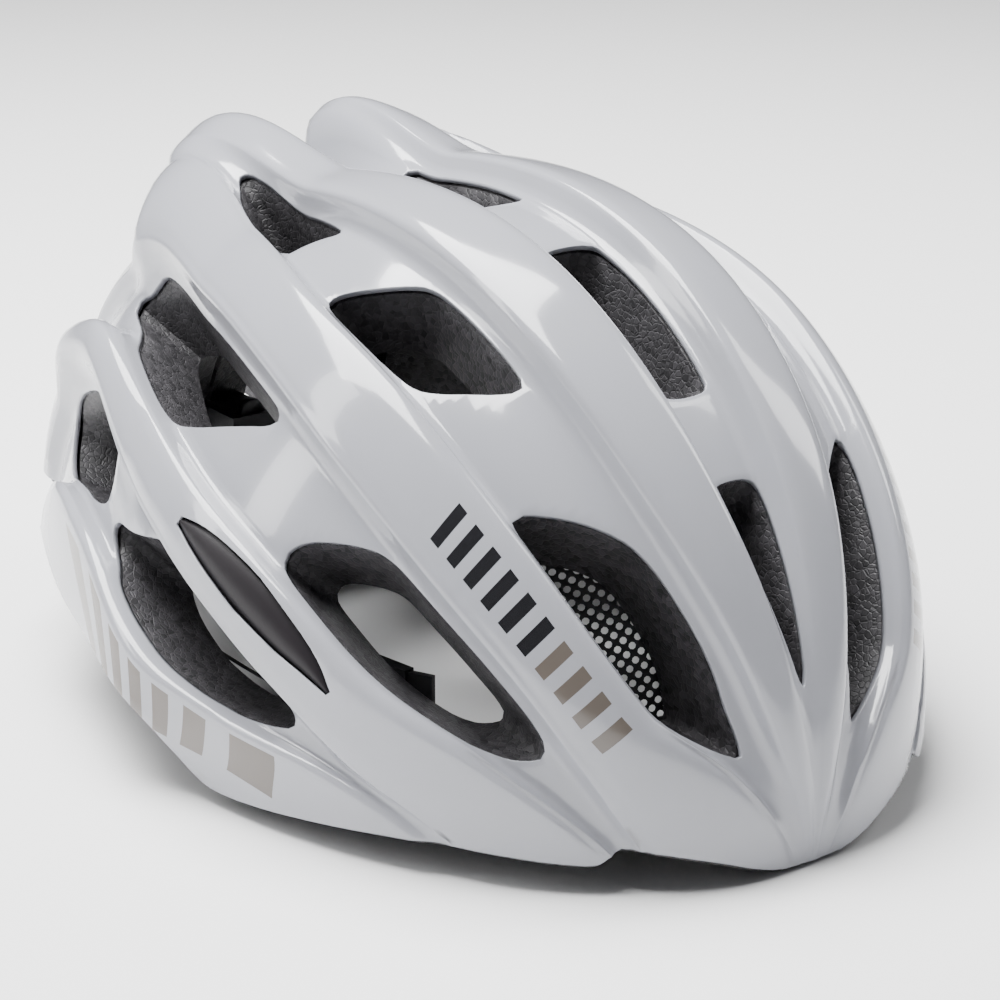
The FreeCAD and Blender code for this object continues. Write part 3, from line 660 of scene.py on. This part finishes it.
shade.color_ramp.elements[0].color = (0.011, 0.011, 0.012, 1)
shade.color_ramp.elements[1].color = (0.038, 0.038, 0.042, 1)
links.new(fuzz.outputs["Fac"], shade.inputs["Fac"])
links.new(shade.outputs["Color"], shader.inputs["Base Color"])
add_bump(nodes, links, shader, knit.outputs["Distance"], 0.5, 0.0003)


def cushion(name, surface, across, down, rise, body, node):
    """Padded piece: surface(a, b, height) gives the place above its base."""
    def cushion_place(a, b, top):
        m = max(abs(a), abs(b))
        if m > 0:
            k = ((abs(a) / m)**5 + (abs(b) / m)**5)**-0.2
            a, b = a * k, b * k
        swell = 0.35 + 0.65 * (1 - m**6)**0.5 - 0.16 * math.exp(-((m - 0.78) / 0.06)**2)
        return surface(a, b, rise * swell if top else 0)

    piece = finished(solid_sheet(across, down, cushion_place, 0), name)
    piece.data.materials.append(fabric)
    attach(piece, body)
    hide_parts(node)


for pad, (o0, o1, s0, s1) in WALL_PADS.items():
    for name, mirror in (("left", 1), ("right", -1)):
        def wall_surface(a, b, height):
            over = (o0 + o1) / 2 + (o1 - o0) / 2 * a
            side = (s0 + s1) / 2 + (s1 - s0) / 2 * b
            return inside(over, side * mirror, PAD_BASE + height)

        cushion(pad + "_soft_" + name, wall_surface, 44, 14, PAD_RISE, "helmet", pad + "_" + name)

# Insect net: black knitted net stretched over the inside of the front vents.
# Its holes are about 2 mm wide, and a folded tape is sewn round its edge.
NET_OVERS = (14, 48)
NET_SIDES = (-27, 27)
NET_WIDTH = 105.0
NET_LENGTH = 69.0
NET_PITCH = 2.6
NET_INSET = 1.0


def net_place(x, y, inset):
    """Place on the cavity wall of a point of the flat net, in millimetres from its middle."""
    over = (NET_OVERS[0] + NET_OVERS[1]) / 2 + y / NET_LENGTH * (NET_OVERS[1] - NET_OVERS[0])
    side = x / NET_WIDTH * (NET_SIDES[1] - NET_SIDES[0])
    return inside(over, side, inset)


threads, nodes, links, shader = new_material("black_net_thread", (0.014, 0.014, 0.015), 0.6)
object_place = nodes.new("ShaderNodeTexCoord")
twist = nodes.new("ShaderNodeTexNoise")
twist.inputs["Scale"].default_value = 2200
links.new(object_place.outputs["Object"], twist.inputs["Vector"])
add_bump(nodes, links, shader, twist.outputs["Fac"], 0.5, 0.0002)
bm = bmesh.new()
count = 48
bmesh.ops.create_grid(bm, x_segments=count, y_segments=count, size=count * NET_PITCH / 2)
turn = math.radians(45)
for v in bm.verts:
    x, y = v.co.x, v.co.y
    v.co.x, v.co.y = x * math.cos(turn) - y * math.sin(turn), x * math.sin(turn) + y * math.cos(turn)
for normal, reach in (((1, 0, 0), NET_WIDTH / 2), ((-1, 0, 0), NET_WIDTH / 2),
                      ((0, 1, 0), NET_LENGTH / 2), ((0, -1, 0), NET_LENGTH / 2)):
    bmesh.ops.bisect_plane(bm, geom=bm.verts[:] + bm.edges[:] + bm.faces[:], dist=1e-4,
                           plane_co=Vector(normal) * reach, plane_no=normal, clear_outer=True)
holes = [f for f in bm.faces if len(f.verts) == 4 and f.calc_area() > 0.9 * NET_PITCH**2]
bmesh.ops.inset_individual(bm, faces=holes, thickness=0.42, depth=0)
bmesh.ops.delete(bm, geom=holes, context="FACES")
for v in bm.verts:
    v.co = net_place(v.co.x, v.co.y, NET_INSET)
bmesh.ops.recalc_face_normals(bm, faces=bm.faces)
net = finished(bm, "front_insect_net")
thick = net.modifiers.new("thread", "SOLIDIFY")
thick.thickness = 0.6 * MM
thick.offset = 0
rounder = net.modifiers.new("round", "SUBSURF")
rounder.levels = rounder.render_levels = 1
net.data.materials.append(threads)
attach(net, "helmet")
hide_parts("insect_net")
bm = bmesh.new()
bmesh.ops.create_grid(bm, x_segments=50, y_segments=34, size=1)
inner = [f for f in bm.faces if max(abs(f.calc_center_median().x), abs(f.calc_center_median().y)) < 0.9]
bmesh.ops.delete(bm, geom=inner, context="FACES")
for v in bm.verts:
    v.co = net_place(v.co.x * NET_WIDTH / 2 * 1.01, v.co.y * NET_LENGTH / 2 * 1.01, NET_INSET)
bmesh.ops.recalc_face_normals(bm, faces=bm.faces)
hem = finished(bm, "net_edge_tape")
thick = hem.modifiers.new("tape", "SOLIDIFY")
thick.thickness = 1.3 * MM
thick.offset = 0
hem.data.materials.append(threads)
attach(hem, "helmet")

# Straps: 15 mm woven webbing, tucked in along the cavity wall, with a sleeve pad on the right
# and a keeper loop on the left. The chin straps end level in the buckle.
STRAP_WIDTH = 15.0
STRAP_THICKNESS = 1.5
STRAP_INSET = 4.0
FRONT_STRAP = [(53, 53), (60, 52), (64.6, 51.2)]
REAR_STRAP = [(126, 50), (112, 51), (100, 50), (92, 49.3)]
CHIN_STRAP = [(77, 39.6), (75, 36), (76, 30), (81, 24.5), (86, 20)]
BUCKLE = Vector((0, -8, 102.5))
BUCKLE_RUN = (33, 27, 20, 13)
SLEEVE_WIDTH = 21
SLEEVE_THICKNESS = 6.0
SLEEVE_FULLNESS = 3


def inward_at(over, side):
    a = inside(over + 1, side) - inside(over - 1, side)
    b = inside(over, side + 1) - inside(over, side - 1)
    n = a.cross(b).normalized()
    return n if n.dot(inside(over, side) - HOOD_CENTRE) < 0 else -n


def wall_route(route, inset):
    """Centres, cross directions and inward directions of a strap through (over, side) places."""
    places = []
    for (o0, s0), (o1, s1) in zip(route, route[1:]):
        places += [(o0 + (o1 - o0) * k / 4, s0 + (s1 - s0) * k / 4) for k in range(4)]
    places.append(route[-1])
    inward = [inward_at(o, s) for o, s in places]
    centres = [inside(o, s) + n * inset for (o, s), n in zip(places, inward)]
    across = []
    for i, n in enumerate(inward):
        ahead = centres[min(i + 1, len(centres) - 1)] - centres[max(i - 1, 0)]
        across.append(ahead.cross(n).normalized())
    return centres, across, inward


def curve_at(points, s):
    """Smooth point of a row of points at a fractional number."""
    i = min(int(s), len(points) - 2)
    t = s - i
    p0, p1, p2 = points[max(i - 1, 0)], points[i], points[i + 1]
    p3 = points[min(i + 2, len(points) - 1)]
    return 0.5 * (2 * p1 + (p2 - p0) * t + (2 * p0 - 5 * p1 + 4 * p2 - p3) * t * t
                  + (3 * p1 - p0 - 3 * p2 + p3) * t**3)


def band_mesh(route, width, thickness, mirror=1, fullness=8):
    """Flat band with rounded edges along a route."""
    centres, across, inward = route
    last = len(centres) - 1

    def band_place(a, b, top):
        s = (a + 1) / 2 * last
        p = curve_at(centres, s)
        side = curve_at(across, s).normalized()
        n = curve_at(inward, s).normalized()
        edge = max(0.25, (1 - abs(b)**fullness)**0.5) * (thickness / 2)
        q = p + side * (b * width / 2) + n * (edge if top else -edge)
        return Vector((q.x * mirror, q.y, q.z))

    return solid_sheet(last * 6, 12, band_place, 0)


webbing, nodes, links, shader = new_material("black_webbing", (0.016, 0.016, 0.017), 0.75)
shader.inputs["Sheen Weight"].default_value = 0.2
uv = nodes.new("ShaderNodeUVMap")
uv.uv_map = "weave"
ribs = nodes.new("ShaderNodeTexWave")
ribs.wave_type = "BANDS"
ribs.bands_direction = "Y"
ribs.inputs["Scale"].default_value = 3.2
ribs.inputs["Distortion"].default_value = 0.4
picks = nodes.new("ShaderNodeTexWave")
picks.wave_type = "BANDS"
picks.bands_direction = "X"
picks.inputs["Scale"].default_value = 14
links.new(uv.outputs["UV"], ribs.inputs["Vector"])
links.new(uv.outputs["UV"], picks.inputs["Vector"])
weave = math_node(nodes, links, "MULTIPLY", ribs.outputs["Fac"], picks.outputs["Fac"])
shade = nodes.new("ShaderNodeValToRGB")
shade.color_ramp.elements[0].color = (0.009, 0.009, 0.010, 1)
shade.color_ramp.elements[1].color = (0.034, 0.034, 0.037, 1)
links.new(weave, shade.inputs["Fac"])
links.new(shade.outputs["Color"], shader.inputs["Base Color"])
add_bump(nodes, links, shader, weave, 0.6, 0.0003)
front_route = wall_route(FRONT_STRAP, STRAP_INSET)
rear_route = wall_route(REAR_STRAP, STRAP_INSET)
chin_route = wall_route(CHIN_STRAP, STRAP_INSET)
level = Vector((0, math.copysign(1, chin_route[1][-1].y), 0))
for x in BUCKLE_RUN:
    chin_route[0].append(Vector((x, BUCKLE.y, BUCKLE.z)))
    chin_route[1].append(level)
    chin_route[2].append(Vector((0, 0, -1)))
for strap, route in (("front_strap", front_route), ("rear_strap", rear_route),
                     ("chin_strap", chin_route)):
    for name, mirror in (("left", 1), ("right", -1)):
        bm = band_mesh(route, STRAP_WIDTH, STRAP_THICKNESS, mirror)
        belt = finished(bm, strap + "_webbing_" + name)
        belt.data.materials.append(webbing)
        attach(belt, "helmet")
        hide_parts(strap + "_" + name)
sleeve_route = [part[5:13] for part in chin_route]
bm = band_mesh(sleeve_route, SLEEVE_WIDTH, SLEEVE_THICKNESS, -1, SLEEVE_FULLNESS)
sleeve = finished(bm, "chin_sleeve_pad")
sleeve.data.materials.append(fabric)
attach(sleeve, "helmet")
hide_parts("chin_pad")

# Fittings: anchors, dividers, levers, buckle, head ring, arms and dial housing are moulded in
# glass filled nylon with a fine spark texture. Pins, screws, spring and temple posts are steel,
# and the keeper, studs and hook dots are rubbery. Every edge is slightly rounded.
nylon, nodes, links, shader = new_material("textured_nylon", (0.020, 0.020, 0.022), 0.42)
object_place = nodes.new("ShaderNodeTexCoord")
grain = nodes.new("ShaderNodeTexNoise")
grain.inputs["Scale"].default_value = 1500
grain.inputs["Detail"].default_value = 4
links.new(object_place.outputs["Object"], grain.inputs["Vector"])
vary_roughness(nodes, links, shader, grain.outputs["Fac"], 0.34, 0.56)
add_bump(nodes, links, shader, grain.outputs["Fac"], 0.35, 0.00015)
rubber, nodes, links, shader = new_material("grip_rubber", (0.016, 0.016, 0.017), 0.8)
object_place = nodes.new("ShaderNodeTexCoord")
grain = nodes.new("ShaderNodeTexNoise")
grain.inputs["Scale"].default_value = 700
links.new(object_place.outputs["Object"], grain.inputs["Vector"])
add_bump(nodes, links, shader, grain.outputs["Fac"], 0.3, 0.0002)
steel, nodes, links, shader = new_material("brushed_steel", (0.62, 0.62, 0.61), 0.3)
shader.inputs["Metallic"].default_value = 1
object_place = nodes.new("ShaderNodeTexCoord")
stretch = nodes.new("ShaderNodeMapping")
stretch.inputs["Scale"].default_value = (200, 4000, 4000)
links.new(object_place.outputs["Object"], stretch.inputs["Vector"])
brushed = nodes.new("ShaderNodeTexNoise")
brushed.inputs["Scale"].default_value = 1
links.new(stretch.outputs["Vector"], brushed.inputs["Vector"])
vary_roughness(nodes, links, shader, brushed.outputs["Fac"], 0.2, 0.42)
CARRIED = {
    "steel": ["cover_screws", "dial_screw", "lever_pin_left", "lever_pin_right", "ratchet_spring",
              "temple_posts"],
    "rubber": ["strap_keeper", "headband_studs", "hook_dots"],
    "nylon": ["buckle_plug", "buckle_socket", "cam_lever_left", "cam_lever_right", "dial_housing",
              "front_headband", "housing_cover", "pinion_gear", "side_arm_left", "side_arm_right",
              "stem_guides", "strap_anchors", "strap_divider_left", "strap_divider_right"],
}
for kind, names in CARRIED.items():
    for name in names:
        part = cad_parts[name]
        finish = {"steel": steel, "rubber": rubber, "nylon": nylon}[kind]
        part.data.materials.clear()
        part.data.materials.append(finish)
        soften = part.modifiers.new("soften", "BEVEL")
        soften.width = 0.25 * MM
        soften.segments = 2
        soften.limit_method = "ANGLE"
        soften.angle_limit = math.radians(50)

# Brow pad: one long cushion on the inside of the head ring, across the forehead.
# It follows the ring, which is a flattened circle a little above the rim.
RING_CENTRE_Y = -4.0
RING_HALF_WIDTH = 74.0
RING_HALF_LENGTH = 101.0
RING_FULLNESS = 2.3
RING_Z = 17.0
RING_WALL = 1.9
BROW_PAD_REACH = 46
BROW_PAD_Z = 18
BROW_PAD_HALF_HEIGHT = 9.5


def ring(angle, offset, z):
    a = math.radians(angle)
    power = 2 / RING_FULLNESS
    x = math.copysign(abs(math.sin(a))**power, math.sin(a))
    y = math.copysign(abs(math.cos(a))**power, math.cos(a))
    return Vector(((RING_HALF_WIDTH - offset) * x, RING_CENTRE_Y - (RING_HALF_LENGTH - offset) * y, z))


def brow_surface(a, b, height):
    return ring(BROW_PAD_REACH * a, RING_WALL + height, BROW_PAD_Z + BROW_PAD_HALF_HEIGHT * b)


cushion("brow_pad_soft", brow_surface, 110, 12, PAD_RISE, "helmet", "brow_pad")

# Rear cradle: a springy nylon yoke behind the head, pierced to save weight, on two flat stems
# that slide in the guides. Two small pads line it.
CRADLE_Y = 85.0
CRADLE_CURVE = 200.0
CRADLE_THICKNESS = 2.2
CRADLE_PAD_X = 22
CRADLE_PAD_Z = 17
CRADLE_PAD_BASE = 1.7
CRADLE_PAD_HALF = (10, 9)
YOKE = [(-34, 8), (-14, 0), (14, 0), (34, 8), (34, 26), (23, 30), (21.5, 62), (12.5, 62), (12, 34),
        (-12, 34), (-12.5, 62), (-21.5, 62), (-23, 30), (-34, 26)]
YOKE_HOLES = [[(-30, 12), (-26, 10.5), (-26, 24), (-30, 23)], [(30, 12), (30, 23), (26, 24), (26, 10.5)]]
bm = bmesh.new()
bmesh.ops.create_grid(bm, x_segments=70, y_segments=64, size=1)
outer = rounded([Vector((x, z, 0)) for x, z in YOKE], 2.5)
holes = [rounded([Vector((x, z, 0)) for x, z in h], 1.5) for h in YOKE_HOLES]
for v in bm.verts:
    v.co = Vector((v.co.x * 35, 31 + v.co.y * 32, 0))
gone = []
for f in bm.faces:
    c = f.calc_center_median()
    if not is_within(c, outer) or any(is_within(c, h) for h in holes):
        gone.append(f)
bmesh.ops.delete(bm, geom=gone, context="FACES")
for v in bm.verts:
    if v.is_boundary:
        v.co = min((nearest_on(v.co, o) for o in [outer] + holes), key=lambda q: (q - v.co).length)
made = bmesh.ops.extrude_face_region(bm, geom=list(bm.faces), use_keep_orig=True)
under = {v for v in made["geom"] if isinstance(v, bmesh.types.BMVert)}
rim = [e for e in bm.edges if (e.verts[0] in under) == (e.verts[1] in under)
       and any((f.verts[0] in under) != (f.verts[2] in under) or (f.verts[1] in under)
               != (f.verts[3] in under) for f in e.link_faces if len(f.verts) == 4)]
for v in bm.verts:
    x, z = v.co.x, v.co.y
    y = CRADLE_Y - x * x / CRADLE_CURVE + (CRADLE_THICKNESS / 2 if v in under else -CRADLE_THICKNESS / 2)
    v.co = Vector((x, y, z))
bmesh.ops.bevel(bm, geom=rim, offset=0.4, offset_type="OFFSET", segments=2, profile=0.5,
                affect="EDGES", material=-1)
bmesh.ops.recalc_face_normals(bm, faces=bm.faces)
yoke = finished(bm, "cradle_yoke")
yoke.data.materials.append(nylon)
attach(yoke, "cradle")
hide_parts("rear_cradle")
for name, mirror in (("left", 1), ("right", -1)):
    def cradle_surface(a, b, height):
        x = (CRADLE_PAD_X + CRADLE_PAD_HALF[0] * a) * mirror
        y = CRADLE_Y - CRADLE_PAD_BASE - x * x / CRADLE_CURVE - height
        return Vector((x, y, CRADLE_PAD_Z + CRADLE_PAD_HALF[1] * b))

    cushion("cradle_pad_soft_" + name, cradle_surface, 24, 22, PAD_RISE, "cradle", "cradle_pad_" + name)

# Dial knob: nylon under a soft rubber skin, scalloped for the fingers, turned with its shaft.
# It sits on the shaft of the pinion, and a small screw holds it.
DIAL_START = 107.8
SCALLOPS = 16
SCALLOP_START = 12.0
SCALLOP_END = 13.6
SCALLOP_DEPTH = 0.05
PROFILE = [(9.2, 0), (13.0, 0), (13.7, 0.3), (14.0, 1.0), (14.0, 8.2), (13.6, 9.3), (12.6, 9.9),
           (11.4, 10.0), (10.6, 9.6), (9.8, 9.0), (4.4, 8.8), (3.6, 9.2), (2.6, 9.2), (2.4, 8.6),
           (2.4, 8.0), (0.0, 8.0)]
SHAFT = [(9.2, 0), (9.0, 0.6), (9.0, 2.6), (3.0, 2.6), (3.0, -16.6), (2.6, -16.8), (0.0, -16.8)]
bm = bmesh.new()
for chain in (PROFILE, SHAFT):
    verts = [bm.verts.new((r, DIAL_START + y, RING_Z)) for r, y in chain]
    edges = [bm.edges.new(pair) for pair in zip(verts, verts[1:])]
    bmesh.ops.spin(bm, geom=verts + edges, cent=(0, 0, RING_Z), axis=(0, 1, 0), angle=2 * math.pi,
                   steps=128, use_merge=True)
bmesh.ops.remove_doubles(bm, verts=bm.verts, dist=0.01)
for v in bm.verts:
    x, z = v.co.x, v.co.z - RING_Z
    r = math.hypot(x, z)
    if r > SCALLOP_START:
        wave = math.cos(math.atan2(z, x) * SCALLOPS)
        cut = smooth_step(0.1, 1.0, wave) * smooth_step(SCALLOP_START, SCALLOP_END, r)
        k = 1 - SCALLOP_DEPTH * cut
        v.co.x, v.co.z = x * k, RING_Z + z * k
bmesh.ops.recalc_face_normals(bm, faces=bm.faces)
knob = finished(bm, "fit_dial")
knob.data.set_sharp_from_angle(angle=math.radians(40))
knob.data.materials.append(rubber)
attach(knob, "dial")
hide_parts("dial_knob")

# Studio: a plain pale floor, a large soft light overhead and two weaker ones at the sides.
# The camera looks down on the front right of the helmet.
bm = bmesh.new()
bmesh.ops.create_grid(bm, x_segments=1, y_segments=1, size=6000)
bmesh.ops.translate(bm, verts=bm.verts, vec=(0, 0, -0.06))
floor = finished(bm, "studio_floor")
floor_paint, nodes, links, shader = new_material("pale_floor", (0.9, 0.9, 0.9), 0.8)
floor.data.materials.append(floor_paint)
CAMERA_AZIMUTH = math.radians(-35.3)
CAMERA_ELEVATION = math.radians(23.1)
CAMERA_DISTANCE = 0.763
AIM = Vector((0.0189, 0.0108, 0.0443))
back = Vector((math.sin(CAMERA_AZIMUTH) * math.cos(CAMERA_ELEVATION),
               -math.cos(CAMERA_AZIMUTH) * math.cos(CAMERA_ELEVATION), math.sin(CAMERA_ELEVATION)))
lens = bpy.data.cameras.new("studio_camera")
lens.lens = 99.7
lens.sensor_width = 36
camera = bpy.data.objects.new("studio_camera", lens)
camera.location = HOOD_CENTRE * MM + back * CAMERA_DISTANCE
camera.rotation_euler = (AIM - camera.location).to_track_quat("-Z", "Y").to_euler()
scene.collection.objects.link(camera)
scene.camera = camera
LIGHTS = {
    "overhead_softbox": ((-0.15, 0.3, 1.2), (1.0, 0.8), 66),
    "side_softbox": ((-1.1, 0.55, 0.8), (0.25, 1.1), 9),
    "far_softbox": ((1.1, -0.3, 0.9), (0.3, 0.9), 7),
}
for name, (spot, size, power) in LIGHTS.items():
    lamp = bpy.data.lights.new(name, "AREA")
    lamp.shape = "RECTANGLE"
    lamp.size, lamp.size_y = size
    lamp.energy = power
    light = bpy.data.objects.new(name, lamp)
    light.location = spot
    light.rotation_euler = (Vector((0, 0, 0.07)) - Vector(spot)).to_track_quat("-Z", "Y").to_euler()
    scene.collection.objects.link(light)
world = bpy.data.worlds.new("studio_world")
world.use_nodes = True
world.node_tree.nodes["Background"].inputs["Color"].default_value = (0.95, 0.96, 1, 1)
world.node_tree.nodes["Background"].inputs["Strength"].default_value = 0.12
scene.world = world
